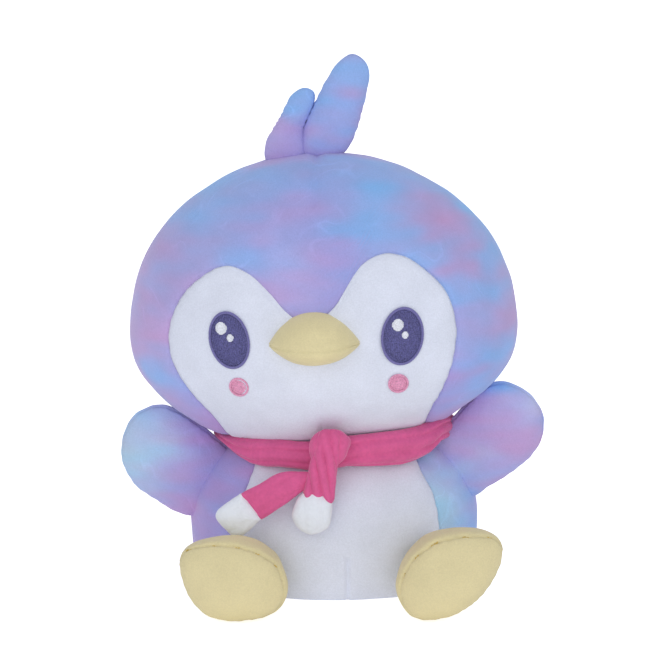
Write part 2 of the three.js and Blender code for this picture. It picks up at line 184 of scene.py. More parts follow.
# dye, side, depth and height of the drop, and how far it spread (mm)
DROPS = [
    ("sky", 14, -40, 196, 26), ("violet", -12, -52, 182, 20), ("sky", -50, -42, 184, 24),
    ("sky", 34, -60, 171, 18), ("pinkish", -68, -45, 160, 22), ("lilac", -20, -62, 157, 14),
    ("pinkish", 52, -42, 186, 17), ("violet", 8, -62, 152, 18), ("pinkish", 62, -45, 166, 14),
    ("sky", 76, -35, 150, 15), ("pinkish", 82, -28, 132, 16), ("sky", 76, -35, 108, 15),
    ("violet", 60, -45, 90, 16), ("lilac", -88, -20, 126, 22), ("sky", -84, -30, 102, 12),
    ("violet", -66, -45, 84, 16), ("lilac", -76, -35, 90, 14), ("periwinkle", -30, -55, 170, 16),
    ("sky", -40, 60, 168, 34), ("pinkish", 22, 66, 150, 30), ("violet", 60, 45, 120, 32),
    ("lilac", -62, 40, 118, 28), ("sky", 8, 62, 104, 28), ("periwinkle", -20, 30, 200, 22),
    ("pinkish", -40, 52, 88, 24), ("violet", 32, 50, 190, 22), ("sky", 70, 20, 168, 24),
    ("violet", -66, -20, 44, 24), ("lilac", -62, 10, 22, 24), ("sky", 62, -25, 28, 18),
    ("aqua", 56, -38, 42, 13), ("frost", 62, -30, 52, 10), ("violet", 64, -10, 60, 14),
    ("lilac", 0, 57, 40, 28), ("sky", -30, 50, 20, 22), ("pinkish", 40, 45, 56, 22),
    ("violet", 20, 50, 12, 22),
    ("aqua", -97, -20, 58, 15), ("frost", -86, -22, 66, 11), ("frost", -84, -18, 44, 11),
    ("violet", -68, -14, 40, 10), ("lilac", -92, 0, 84, 9), ("violet", -60, -10, 60, 9),
    ("pinkish", 86, -18, 58, 14), ("lilac", 82, -18, 76, 18), ("sky", 101, -4, 72, 7),
    ("lilac", 66, -14, 60, 12), ("frost", 94, -10, 90, 9), ("lilac", -74, -16, 58, 9),
    ("sky", 14, 0, 242, 11), ("pinkish", 10, 0, 229, 8), ("periwinkle", 0, 0, 224, 10),
    ("lilac", 2, 0, 211, 11), ("sky", -14, 0, 231, 9), ("lilac", -26, 0, 208, 12), ("violet", -16, 0, 214, 9),
]

drop_colours = np.array([DYES[drop[0]] for drop in DROPS])
drop_places = np.array([drop[1:4] for drop in DROPS]) * MM
drop_spreads = np.array([drop[4] for drop in DROPS]) * MM
FRAY = 13 * MM  # how far noise pushes a cloud's edge
STREAK = 0.42  # how strongly thin streaks run through the clouds


def dye_at(points):
    """The dyed colour at each point."""
    points = np.asarray(points)
    banded = points * (1, 1, 2.2)  # the cloth was folded level, so clouds run sideways
    pushes = [lumps(banded, 0.04, seed) + 0.5 * lumps(banded, 0.014, seed + 9) for seed in (1, 2, 3)]
    places = points + FRAY * np.stack(pushes, 1)
    away = np.linalg.norm(places[:, None, :] - drop_places[None], axis=2) / drop_spreads
    share = np.exp(-(away**2)) + 0.008 / (0.3 + away**2)  # the small second share reaches far from any drop
    cloud = (share @ drop_colours) / share.sum(1, keepdims=True)
    streak = lumps(points * (1, 1, 3.5), 0.045, 31) + 0.6 * lumps(points * (1, 1, 3), 0.016, 37)
    return cloud + STREAK * streak[:, None] * (np.array(DYES["pinkish"]) - DYES["sky"])


print(len(DROPS), "drops of", len(DYES), "dyes")

# %% [markdown]
# ## Materials: short pile
# The skin is a knitted velour with pile about a millimetre long. It has no gloss: light is scattered by the
# tips of the fibres, which Blender calls sheen. Three things sell it: a fine grain, slow changes in how the
# pile lies, and a few pale lines where a hand swept the pile the other way; their paleness is painted sheen,
# a lighter base colour along thin lines.

# %% Node helpers
def new_material(name):
    """A new material, its node tree and its main shader."""
    material = bpy.data.materials.new(name)
    material.use_nodes = True
    return material, material.node_tree, material.node_tree.nodes["Principled BSDF"]


def add_node(tree, kind, **values):
    """A new node with some of its settings."""
    node = tree.nodes.new(kind)
    for key, value in values.items():
        setattr(node, key, value)
    return node


def grain(tree, size, detail=2.0, distortion=0.0, stretch=(1, 1, 1)):
    """Noise whose grains are about size metres wide; stretch draws them out."""
    place = add_node(tree, "ShaderNodeTexCoord")
    mapping = add_node(tree, "ShaderNodeMapping")
    mapping.inputs["Scale"].default_value = stretch
    texture = add_node(tree, "ShaderNodeTexNoise")
    texture.inputs["Scale"].default_value = 1 / size
    texture.inputs["Detail"].default_value = detail
    texture.inputs["Distortion"].default_value = distortion
    tree.links.new(place.outputs["Object"], mapping.inputs["Vector"])
    tree.links.new(mapping.outputs["Vector"], texture.inputs["Vector"])
    return texture.outputs["Fac"]


def remap(tree, source, low, high, to_low, to_high):
    """Stretches the range low to high onto to_low to to_high, and stops at both ends."""
    node = add_node(tree, "ShaderNodeMapRange")
    for name, value in zip(("From Min", "From Max", "To Min", "To Max"), (low, high, to_low, to_high)):
        node.inputs[name].default_value = value
    tree.links.new(source, node.inputs["Value"])
    return node.outputs["Result"]


def math_node(tree, operation, first, second):
    """One sum of two values; each is a number or another node's output."""
    node = add_node(tree, "ShaderNodeMath", operation=operation)
    for socket, value in zip(node.inputs, (first, second)):
        if isinstance(value, (int, float)):
            socket.default_value = value
        else:
            tree.links.new(value, socket)
    return node.outputs[0]


def scaled_colour(tree, colour, factor):
    """A colour made lighter or darker by a factor around 1."""
    node = add_node(tree, "ShaderNodeVectorMath", operation="SCALE")
    tree.links.new(colour, node.inputs[0])
    tree.links.new(factor, node.inputs["Scale"])
    return node.outputs["Vector"]


def bump(tree, shader, heights):
    """Stacks several grains, each with its depth in metres, into one bump."""
    normal = None
    for height, depth in heights:
        node = add_node(tree, "ShaderNodeBump")
        node.inputs["Distance"].default_value = depth
        node.inputs["Strength"].default_value = 1.0
        tree.links.new(height, node.inputs["Height"])
        if normal is not None:
            tree.links.new(normal, node.inputs["Normal"])
        normal = node.outputs["Normal"]
    tree.links.new(normal, shader.inputs["Normal"])


# %% Pile fabric in any colour
PILE_DEPTH = 0.22 * MM  # how deep the grain of the pile looks
CLUMP_DEPTH = 0.22 * MM  # and the slower swell where fibres lean together


def pile_fabric(name, colour=None, sheen=0.35, sheen_tint=(1, 1, 1), nap_sheen_gain=0.09):
    """Short-pile fabric. With no colour it reads the dye that the vertices carry."""
    material, tree, shader = new_material(name)
    if colour is None:
        source = add_node(tree, "ShaderNodeAttribute", attribute_name="dye").outputs["Color"]
    else:
        rgb = add_node(tree, "ShaderNodeRGB")
        rgb.outputs[0].default_value = (*colour, 1)
        source = rgb.outputs[0]
    slow = remap(tree, grain(tree, 0.016, 3), 0.3, 0.7, 0.965, 1.035)
    fine = remap(tree, grain(tree, 0.0007, 2), 0.3, 0.7, 0.96, 1.04)
    # Pale lines in slow patches where the pile lies the other way: painted sheen, a lighter base colour.
    ridge = math_node(tree, "ABSOLUTE", math_node(tree, "SUBTRACT", grain(tree, 0.022, 1, 0.7), 0.5), 0)
    nap_sheen_lines = remap(tree, ridge, 0.0, 0.024, nap_sheen_gain, 0.0)
    nap_sheen_patches = remap(tree, grain(tree, 0.03, 1), 0.5, 0.62, 0.0, 1.0)
    nap_sheen_lines = math_node(tree, "ADD", math_node(tree, "MULTIPLY", nap_sheen_lines, nap_sheen_patches), 1.0)
    factor = math_node(tree, "MULTIPLY", math_node(tree, "MULTIPLY", slow, fine), nap_sheen_lines)
    tree.links.new(scaled_colour(tree, source, factor), shader.inputs["Base Color"])
    bump(
        tree,
        shader,
        [
            (grain(tree, 0.0055, 2, 0.4), CLUMP_DEPTH),
            (grain(tree, 0.0009, 3), PILE_DEPTH),
            (grain(tree, 0.00035, 1), PILE_DEPTH / 3),
        ],
    )
    shader.inputs["Roughness"].default_value = 0.95
    shader.inputs["Specular IOR Level"].default_value = 0.15
    shader.inputs["Sheen Weight"].default_value = sheen
    shader.inputs["Sheen Roughness"].default_value = 0.45
    shader.inputs["Sheen Tint"].default_value = (*sheen_tint, 1)
    return material


WHITE = linear(225, 229, 243)
CREAM = linear(226, 213, 167)
dyed_pile = pile_fabric("dyed_short_pile", sheen_tint=(0.85, 0.87, 1))
white_pile = pile_fabric("white_short_pile", WHITE, sheen=0.2, nap_sheen_gain=0.015)
cream_pile = pile_fabric("cream_short_pile", CREAM, sheen=0.25, sheen_tint=(1, 0.95, 0.8), nap_sheen_gain=0.03)
print("pile fabrics", [m.name for m in (dyed_pile, white_pile, cream_pile)])

# %% [markdown]
# ## Materials: fleece and thread
# The scarf is a deeper fleece whose fibres clump in rows along its length. Embroidery thread is rayon: it is
# twisted, and shines more along a stitch than any other piece of the toy.

# %% Fleece and thread
def fleece(name, colour, along=(1, 1, 1), uneven=0.05):
    """Fleece with streaks. along is small on the axis they follow, uneven is how far their tone strays."""
    material, tree, shader = new_material(name)
    rgb = add_node(tree, "ShaderNodeRGB")
    rgb.outputs[0].default_value = (*colour, 1)
    slow = remap(tree, grain(tree, 0.007, 3), 0.3, 0.7, 1 - uneven, 1 + uneven)
    streak = remap(tree, grain(tree, 0.0016, 3, 0.3, along), 0.3, 0.7, 1 - uneven, 1 + uneven)
    factor = math_node(tree, "MULTIPLY", slow, streak)
    tree.links.new(scaled_colour(tree, rgb.outputs[0], factor), shader.inputs["Base Color"])
    bump(
        tree,
        shader,
        [
            (grain(tree, 0.003, 3, 0.5, along), 0.22 * MM),
            (grain(tree, 0.0011, 3), 0.26 * MM),
            (grain(tree, 0.0004, 1), 0.1 * MM),
        ],
    )
    shader.inputs["Roughness"].default_value = 0.95
    shader.inputs["Specular IOR Level"].default_value = 0.1
    shader.inputs["Sheen Weight"].default_value = 0.4
    shader.inputs["Sheen Roughness"].default_value = 0.4
    shader.inputs["Sheen Tint"].default_value = (1, 0.8, 0.9, 1)
    return material


def thread(name, colour, uneven=0.14):
    """Twisted embroidery thread, slightly glossy; uneven is how far its tone strays along the rows."""
    material, tree, shader = new_material(name)
    rgb = add_node(tree, "ShaderNodeRGB")
    rgb.outputs[0].default_value = (*colour, 1)
    tone = remap(tree, grain(tree, 0.0006, 2), 0.3, 0.7, 1 - uneven, 1 + uneven)
    tree.links.new(scaled_colour(tree, rgb.outputs[0], tone), shader.inputs["Base Color"])
    bump(tree, shader, [(grain(tree, 0.0002, 2, 0.0, (3, 3, 1)), 0.06 * MM)])
    shader.inputs["Roughness"].default_value = 0.48
    shader.inputs["Specular IOR Level"].default_value = 0.4
    shader.inputs["Sheen Weight"].default_value = 0.15
    return material


scarf_fleece = fleece("pink_fleece", linear(222, 100, 152))
tip_fleece = fleece("white_fleece", linear(234, 238, 246), uneven=0.02)
violet_thread = thread("violet_thread", linear(92, 90, 146), uneven=0.45)
outline_thread = thread("outline_thread", linear(118, 113, 172))
white_thread = thread("white_thread", linear(238, 240, 248))
pink_thread = thread("pink_thread", linear(232, 160, 194), uneven=0.22)
gold_thread = thread("gold_thread", linear(212, 182, 92))
print("materials", [m.name for m in bpy.data.materials])


# %% [markdown]
# ## From a shape to a finished piece
# Every piece ends the same way: its faces are turned outwards, it gets a smooth surface, a material and, if it
# is dyed, a dye, and the plain panels it stands for are hidden. After that some pieces are tied to what they
# move with.

# %% Finishing a piece
def finish_piece(name, bm, material, replaced, dyed=False):
    """Turns a bmesh, already in its place, into an object of the toy."""
    bmesh.ops.recalc_face_normals(bm, faces=bm.faces)
    mesh = bpy.data.meshes.new(name)
    bm.to_mesh(mesh)
    bm.free()
    for polygon in mesh.polygons:
        polygon.use_smooth = True
    piece = bpy.data.objects.new(name, mesh)
    bpy.context.scene.collection.objects.link(piece)
    mesh.materials.append(material)
    if dyed:
        colours = dye_at([v.co for v in mesh.vertices])
        layer = mesh.color_attributes.new("dye", "FLOAT_COLOR", "POINT")
        layer.data.foreach_set("color", np.hstack([colours, np.ones((len(colours), 1))]).ravel())
    if replaced:
        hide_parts(*replaced)
    return piece


def give_thickness(piece, thickness):
    """Turns an open panel into cloth with two sides, its outer one left where it was."""
    solid = piece.modifiers.new("cloth", "SOLIDIFY")
    solid.thickness = thickness
    solid.offset = -1
    shaped = piece.evaluated_get(bpy.context.evaluated_depsgraph_get())
    finished = bpy.data.meshes.new_from_object(shaped)
    piece.modifiers.clear()
    piece.data = finished


# %% [markdown]
# ## Egg-shaped skins
# The head and the body are each a shell of panels. A panel could be cut out with a knife, which leaves ragged
# edges. Instead the rings of a sphere are drawn around a point inside the white panel, and one ring is laid
# exactly along that panel's outline. The seam is then a clean loop, and cutting there leaves two tidy panels.

# %% A sphere whose rings follow a panel's outline
PANEL_SHARE = 52 / 128  # of the 128 rings, number 52 lies on the white panel's seam
RING_SLACK = 0.001  # less than half a ring


def egg_point(egg, direction):
    """Points of an egg in the given directions of a ball."""
    x, y, z = direction.T
    half = np.where(z > 0, egg["above"], egg["below"])
    return np.stack([egg["width"] * x, egg["depth"] * y, half * z], 1)


def egg_normal(egg, points):
    """Which way the egg's surface faces at its points."""
    half = np.where(points[:, 2] > 0, egg["above"], egg["below"])
    level = np.full(len(half), 1.0)
    slope = points / np.stack([egg["width"] * level, egg["depth"] * level, half], 1) ** 2
    return slope / np.linalg.norm(slope, axis=1, keepdims=True)


def front_direction(egg, outline):
    """Directions from an egg's middle to points drawn on its front; past the rim they run round below."""
    x, z = outline.T
    across, up = x / egg["width"], z / np.where(z > 0, egg["above"], egg["below"])
    out = np.hypot(across, up)
    lean = np.where(out < 1, np.arcsin(np.minimum(out, 1)), math.pi / 2 * out)
    return np.stack([np.sin(lean) * across / out, -np.cos(lean), np.sin(lean) * up / out], 1)


def ringed_egg(egg, outline, inside, segments=256, rings=128):
    """A sphere bent into an egg, with the seam's ring on the outline and the rings' middle at inside.
    Gives the bmesh, each vertex's ring from 0 to 1, and the seam's points."""
    bm = bmesh.new()
    bmesh.ops.create_uvsphere(bm, u_segments=segments, v_segments=rings, radius=1)
    ball = coordinates(bm)
    ring = np.arccos(np.clip(ball[:, 2], -1, 1)) / math.pi
    turn = np.arctan2(ball[:, 1], ball[:, 0])
    pole = front_direction(egg, np.array([inside]))[0]
    across = np.cross([0, 0, 1], -pole)
    across /= np.linalg.norm(across)
    up = np.cross(-pole, across)
    seam = front_direction(egg, np.array(outline))
    seam_turn = np.arctan2(seam @ up, seam @ across)
    seam_reach = np.arccos(np.clip(seam @ pole, -1, 1))
    order = np.argsort(seam_turn)
    reach = np.interp(turn, seam_turn[order], seam_reach[order], period=2 * math.pi)
    inner = reach * ring / PANEL_SHARE
    outer = reach + (math.pi - reach) * (ring - PANEL_SHARE) / (1 - PANEL_SHARE)
    polar = np.where(ring < PANEL_SHARE, inner, outer)
    sideways = np.cos(turn)[:, None] * across + np.sin(turn)[:, None] * up
    direction = np.cos(polar)[:, None] * pole + np.sin(polar)[:, None] * sideways
    move_to(bm, egg_point(egg, direction))
    return bm, ring, egg_point(egg, seam)


def distance_to(points, line):
    """How far each point is from the nearest of the line's points."""
    nearest = np.empty(len(points))
    for start in range(0, len(points), 4000):
        part = points[start : start + 4000]
        nearest[start : start + 4000] = np.linalg.norm(part[:, None] - line[None], axis=2).min(1)
    return nearest


def valley(distance, depth, width):
    """A smooth groove along everything that is at no distance."""
    return -depth * np.exp(-((distance / width) ** 2))


def cut_at_seam(bm, ring):
    """Two copies of the bmesh: the coloured panels outside the seam, and the white panel inside it."""
    copies = []
    for outside in (True, False):
        copy = bm.copy()
        unwanted = [
            face for face in copy.faces
            if (max(ring[v.index] for v in face.verts) > PANEL_SHARE + RING_SLACK) != outside
        ]
        bmesh.ops.delete(copy, geom=unwanted, context="FACES")
        copies.append(copy)
    return copies


# %% [markdown]
# ## The head
# Seen from the front the white face is a heart: two lobes over the eyes and a notch down to the beak. The
# coloured crown covers everything else, with a seam down the middle of the back where it was sewn shut. The
# stuffing pushes the panels out everywhere but at the seams, so a seam is a narrow valley with faint puckers.

# %% The face's outline and the head's skin
FACE_OUTLINE = [
    (-2, 8), (-12, 14), (-20, 23), (-29, 31), (-40, 34.5), (-52, 29.5), (-62, 20), (-68.5, 5), (-67.5, -10),
    (-60, -25), (-50, -39), (-44, -52), (-40, -66), (0, -72), (44, -66), (48, -52), (53, -37), (58.5, -23),
    (62.5, -10), (64, 4), (60.5, 19), (52, 29.5), (42, 36.5), (32, 38.5), (22, 34), (15.5, 25), (9, 15.5),
]
FACE_MIDDLE = (-2, -12)
SKIN = 1.4 * MM  # the fabric's thickness
HEAD_FLAT = neck_level + 1.5 * MM - head_middle.z  # the head's underside, flattened on the neck

face_loop = smooth_loop(FACE_OUTLINE) * MM
bm, ring, seam = ringed_egg(head_egg, face_loop, Vector(FACE_MIDDLE) * MM)
places = coordinates(bm)
normals = egg_normal(head_egg, places)
near_seam = distance_to(places, seam)
back = (places[:, 1] > 0) | (places[:, 2] > 0.06)
near_back_seam = np.where(back, np.abs(places[:, 0]), 1)
dart = np.where((ring < PANEL_SHARE) & (places[:, 2] < -12 * MM), np.abs(places[:, 0] - 1 * MM), 1)
puckers = np.sin(places[:, 0] * 900 + places[:, 2] * 700 + 3 * lumps(places, 0.02, 4))
cheeks = np.exp(-(((places[:, 2] + 22 * MM) / (17 * MM)) ** 2)) * np.abs(normals[:, 0]) ** 2
tuck = np.exp(-(((places[:, 2] + 47 * MM) / (14 * MM)) ** 2)) * np.clip(normals[:, 0], 0, 1) ** 0.5
height = (
    2.0 * MM * cheeks
    - 3.2 * MM * tuck
    + 0.9 * MM * lumps(places, 0.035, 5)
    + 0.35 * MM * lumps(places, 0.012, 6)
    + valley(near_seam, 1.1 * MM, 2.2 * MM)
    + 0.16 * MM * puckers * np.exp(-near_seam / (4 * MM))
    + valley(near_back_seam, 1.3 * MM, 2.4 * MM)
    + 0.2 * MM * puckers * np.exp(-near_back_seam / (5 * MM))
    + valley(dart, 0.5 * MM, 1.2 * MM)
)
places = places + normals * height[:, None]

# %% [markdown]
# The head rests on the neck, so its underside is pressed flat. The press fades in over a few millimetres, or
# it would leave a crease. Then the two panels are cut apart at the seam's ring and given their thickness.

# %% Pressing the head on the neck, and cutting it into its panels
soft = 4 * MM
low = places[:, 2] < HEAD_FLAT + soft
flattened = HEAD_FLAT + soft * np.exp((places[:, 2] - HEAD_FLAT - soft) / soft)
places[:, 2] = np.where(low, flattened, places[:, 2])
move_to(bm, places)
bm.transform(head_place)
bm.verts.ensure_lookup_table()

crown_bm, face_bm = cut_at_seam(bm, ring)
bm.free()
crown = finish_piece(
    "crown_skin", crown_bm, dyed_pile,
    ["crown_panel_left", "crown_panel_right", "head_filling"], dyed=True,
)
face = finish_piece("face_skin", face_bm, white_pile, ["face_panel"])
for skin in (crown, face):
    give_thickness(skin, SKIN)
    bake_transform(skin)
print("head", len(crown.data.polygons), "and", len(face.data.polygons), "faces")

# %% [markdown]
# ## The body
# The body is a squat egg that sits on an oval base. Its white belly runs from the neck down under the front
# edge, where a short dart takes in the fullness. The coloured back meets it along both sides.

# %% Belly and back
BELLY_OUTLINE = [
    (-28, 50), (-38, 30), (-44, 14), (-48, -1), (-47, -16), (-44, -30), (-42, -50), (0, -56), (44, -50),
    (46, -30), (48.5, -16), (49.5, 0), (47, 16), (40, 30), (31, 50), (0, 52),
]
BODY_FLAT = 0.2 * MM - BODY_WIDEST
BODY_TOP = neck_level - 3 * MM - BODY_WIDEST

belly_loop = smooth_loop(BELLY_OUTLINE) * MM
bm, ring, seam = ringed_egg(body_egg, belly_loop, (0, -2 * MM))
places = coordinates(bm)
normals = egg_normal(body_egg, places)
near_seam = distance_to(places, seam)
near_back_seam = np.where(places[:, 1] > 0, np.abs(places[:, 0]), 1)
dart = np.hypot(places[:, 0] - 6 * MM, np.maximum(places[:, 2] + 10 * MM, 0))
dart = np.where(places[:, 1] < 0, dart, 1)
puckers = np.sin(places[:, 2] * 850 + places[:, 0] * 500 + 3 * lumps(places, 0.02, 14))
height = (
    0.9 * MM * lumps(places, 0.03, 15)
    + 0.3 * MM * lumps(places, 0.011, 16)
    + valley(near_seam, 1.0 * MM, 2.2 * MM)
    + 0.18 * MM * puckers * np.exp(-near_seam / (4 * MM))
    + valley(near_back_seam, 1.2 * MM, 2.2 * MM)
    + 0.25 * MM * puckers * np.exp(-near_back_seam / (5 * MM))
    + valley(dart, 1.1 * MM, 0.95 * MM)
)
places = places + normals * height[:, None]
for level, way, soft in ((BODY_FLAT, 1, 1.5 * MM), (BODY_TOP, -1, 4 * MM)):
    past = way * (places[:, 2] - level) < soft
    eased = level + way * soft * np.exp((way * (places[:, 2] - level) - soft) / soft)
    places[:, 2] = np.where(past, eased, places[:, 2])
move_to(bm, places)
bm.transform(body_place)

# %% [markdown]
# The back and the belly are cut apart as the head's panels were. Both ride the torso, the one body of the toy
# that never moves.

# %% Cutting the body into its panels
back_bm, belly_bm = cut_at_seam(bm, ring)
bm.free()
body_back = finish_piece(
    "back_skin", back_bm, dyed_pile,
    ["back_panel_left", "back_panel_right", "body_filling"], dyed=True,
)
belly = finish_piece("belly_skin", belly_bm, white_pile, ["belly_panel"])
for skin in (body_back, belly):
    give_thickness(skin, SKIN)
    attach(skin, "torso")
print("body", len(body_back.data.polygons), "and", len(belly.data.polygons), "faces")

# %% [markdown]
# ## The base and the neck
# The base is an oval panel under the body, nearly out of sight. The neck is a plug of stuffing between head
# and body, wholly behind the scarf. A ball, pressed flat, does for both: nobody sees a finer shape there.

# %% The base panel
base_low, base_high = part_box("base_panel")
bm = bmesh.new()
bmesh.ops.create_uvsphere(bm, u_segments=96, v_segments=32, radius=1)
half = np.array((base_high - base_low) / 2)
BASE_SQUARENESS = np.array([0.9, 0.9, 0.5])  # the ball's sides are made a little straight, its top flat
BASE_WITHIN = np.array([0.95, 0.95, 0.9])  # its share of the panel's size: it stays under the belly's edge
places = coordinates(bm)
places = np.sign(places) * np.abs(places) ** BASE_SQUARENESS
places = places * half * BASE_WITHIN + np.array((base_low + base_high) / 2)
move_to(bm, places)
base = finish_piece("base_skin", bm, dyed_pile, ["base_panel"], dyed=True)
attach(base, "torso")
print("base", [round(v / MM, 1) for v in base.dimensions], "mm")

# %% The neck's stuffing
NECK_HALF = (43 * MM, 36 * MM, 12 * MM)
bm = bmesh.new()
bmesh.ops.create_uvsphere(bm, u_segments=64, v_segments=24, radius=1)
bmesh.ops.scale(bm, verts=bm.verts, vec=NECK_HALF)
bmesh.ops.translate(bm, verts=bm.verts, vec=(0, 0, neck_level))
neck_pad = finish_piece("neck_pad", bm, dyed_pile, ["neck_filling"], dyed=True)
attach(neck_pad, "neck")
print("neck", [round(v / MM, 1) for v in neck_pad.dimensions], "mm")


# %% [markdown]
# ## Stuffed flat shapes
# Wings, feet and tufts are two panels of one outline, sewn together round the edge and filled. A ball is
# pressed into the outline: its equator becomes the sewn edge. The front panel may be a little smaller than
# the back one, which brings the seam forward into view, as on the feet.

# %% A pillow over an outline
def pillow(outline, middle, front, rear, seam=90.0, heel=None, taper=1.0, segments=112, rings=56):
    """A bmesh of a stuffed outline that faces -Y, in mm. seam is the seam's angle from the front, in degrees,
    or a function of the turn. heel draws the rear in to a point. Gives the bmesh and what finds the seam."""
    bm = bmesh.new()
    bmesh.ops.create_uvsphere(bm, u_segments=segments, v_segments=rings, radius=1)
    bmesh.ops.rotate(bm, verts=bm.verts, cent=(0, 0, 0), matrix=Matrix.Rotation(math.radians(90), 3, "X"))
    ball = coordinates(bm)
    loop = smooth_loop(outline) - np.array(middle)
    loop_turn = np.arctan2(loop[:, 1], loop[:, 0])
    order = np.argsort(loop_turn)
    turn = np.arctan2(ball[:, 2], ball[:, 0])
    edge = np.interp(turn, loop_turn[order], np.hypot(*loop.T)[order], period=2 * math.pi)
    out = np.hypot(ball[:, 0], ball[:, 2])
    rearward = ball[:, 1] > 0
    spread = np.where(rearward, out**taper, out)
    drawn = np.where(rearward, 1 - spread, 0) if heel is not None else np.zeros(len(out))
    toward = np.array(heel if heel is not None else middle) - np.array(middle)
    x = middle[0] + np.cos(turn) * edge * spread + toward[0] * drawn
    z = middle[1] + np.sin(turn) * edge * spread + toward[1] * drawn
    y = np.where(rearward, rear, front) * ball[:, 1]
    move_to(bm, np.stack([x, y, z], 1))
    polar = np.degrees(np.arccos(np.clip(-ball[:, 1], -1, 1)))
    seam_polar = seam(turn) if callable(seam) else seam
    return bm, np.radians(polar - seam_polar) * np.minimum(edge, 30), turn


def sew_and_fill(
    bm, from_seam, turn, seed, depth=1.0, width=1.7, puckers=24, pucker_depth=0.35, pucker_reach=4.0, lump=0.7
):
    """Sinks the seam of a pillow in mm, puckers it, and leaves the filling uneven."""
    bm.normal_update()
    places = coordinates(bm)
    normals = np.array([v.normal for v in bm.verts])
    wave = np.sin(puckers * turn + 2.5 * lumps(places, 12, seed + 1))
    height = (
        valley(from_seam, depth, width)
        + pucker_depth * wave * np.exp(-np.abs(from_seam) / pucker_reach)
        + lump * lumps(places, 16, seed)
        + 0.3 * lump * lumps(places, 6, seed + 2)
    )
    move_to(bm, places + normals * height[:, None])
    return bm


def place_mm(bm, matrix=Matrix.Identity(4)):
    """Moves a shape drawn in mm to its place in metres."""
    bm.transform(matrix)
    bm.transform(Matrix.Diagonal((MM, MM, MM, 1)))
    return bm


# %% [markdown]
# ## Wings
# Each wing is a round paddle sewn into the side seam along a slanted root. It stands out from the body and
# leans a little forward.

# %% Where the body's side is
def body_side(height_mm):
    """How far the body's side stands from the middle at a height, in mm."""
    up = height_mm - BODY_WIDEST / MM
    half = body_egg["above"] if up > 0 else body_egg["below"]
    return body_egg["width"] / MM * math.sqrt(1 - (up / (half / MM)) ** 2)


print("the body's side is", round(body_side(48), 1), "mm out at 48 mm above the floor")

# %% [markdown]
# The outlines are drawn as seen from the front. Everything is counted from the side seam, so that a wing
# stays sewn on if the body grows.

# %% The two wings
WING_FORWARD = 10  # how far in front of the body's middle they stand (mm)
WING_HALF_THICK = 10
WING_BEND = 9  # how much of a wing's root bends
ROOT_WAY = Vector((0.89, 0, 0.45))  # outwards, at right angles to the slanted root
# outlines measured outwards from the body's side at the root's height, and the height above the floor (mm)
WINGS = {
    "left": {
        "side": -1,
        "root": 48,
        "middle": (14, 58),
        "outline": [
            (-17, 60), (-6, 71), (10, 82), (20, 84.5), (28.5, 81), (33.5, 75), (36, 68), (36.8, 60),
            (35, 53), (30.5, 45.5), (22, 38.5), (12, 32.5), (4, 30.5), (-6, 34), (-13, 46),
        ],
    },
    "right": {
        "side": 1,
        "root": 54,
        "middle": (14, 68),
        "outline": [
            (-17, 68), (-8, 75), (1, 85), (9, 92.5), (18, 95.5), (27, 93), (33, 88), (37.5, 81), (38.5, 75),
            (37.5, 68), (34, 61), (28, 54.5), (20, 49), (12, 44.5), (4, 39), (-7, 40), (-15, 52),
        ],
    },
}
for name, wing in WINGS.items():
    root_side = body_side(wing["root"])
    outward = [(wing["side"] * (root_side + x), z) for x, z in wing["outline"]]
    middle = (wing["side"] * (root_side + wing["middle"][0]), wing["middle"][1])
    bm, from_seam, turn = pillow(outward, middle, WING_HALF_THICK, WING_HALF_THICK + 1, seam=80)
    sew_and_fill(bm, from_seam, turn, seed=20 + wing["side"], pucker_depth=0.2)
    place_mm(bm, Matrix.Translation((0, -WING_FORWARD, 0)))
    nodes = [f"wing_{name}_{part}" for part in ("front_panel", "back_panel", "filling")]
    piece = finish_piece(f"wing_{name}_skin", bm, dyed_pile, nodes, dyed=True)
    across = Vector((wing["side"] * ROOT_WAY.x, 0, ROOT_WAY.z)) * WING_BEND * MM
    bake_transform(piece)
print("wings at", [round(body_side(wing["root"]), 1) for wing in WINGS.values()], "mm from the middle")

# %% [markdown]
# ## Feet
# A foot is a cream pad. Its sole faces the viewer and its upper wraps over the toes, so the seam shows as an
# arc just inside the top edge, gathered by a few tight stitches. The heel runs back to the body.

# %% The feet's sizes and outlines
FOOT_SOLE = 12.5  # how far the sole bulges forward of its seam (mm)
FOOT_UPPER = 42  # and how far the upper runs back to the heel
FOOT_LEAN = math.radians(1)
FOOT_PRESS = 0.965  # a foot is a little lower than its drawn outline, pressed by its own weight
FLOOR_GAP = 0.2 * MM
foot_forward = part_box("foot_left_sole")[1].y / MM  # the seam's plane at floor level
FEET = {
    "left": {
        "middle": (-46, 19),
        "heel": (-34, 15),
        "inner": 0.0,
        "gathers": [(142, 2), (112, 2), (82, 3), (52, 2), (22, 2)],  # degrees round the seam, and stitches
        "outline": [
            (-69.5, 25), (-68.5, 32), (-62.5, 36.5), (-50, 38.5), (-41, 37.8), (-32, 34), (-24.5, 27),
            (-21, 16), (-23.5, 7), (-31, 1.8), (-41, 0.2), (-51, 0.8), (-59, 4), (-65.5, 12),
        ],
    },
    "right": {
        "middle": (51, 21),
        "heel": (36, 15),
        "inner": math.pi,
        "gathers": [(178, 3), (146, 2), (112, 3), (72, 2), (48, 2)],
        "outline": [
            (28, 13), (29, 22), (34, 31), (42, 38.5), (51, 42), (62, 42.6), (71, 41), (75, 36), (74.5, 28),
            (70.5, 19), (64, 10.5), (55, 4), (44, 0.3), (34, 3),
        ],
    },
}


print("the feet's seams stand", round(-foot_forward, 1), "mm forward")

# %% [markdown]
# The seam is not level: it comes forward over the toes, which makes the cap that the viewer sees. A
# function of the angle says where it runs. The thread that gathered the toes shows as a few tight stitches
# in dimples.

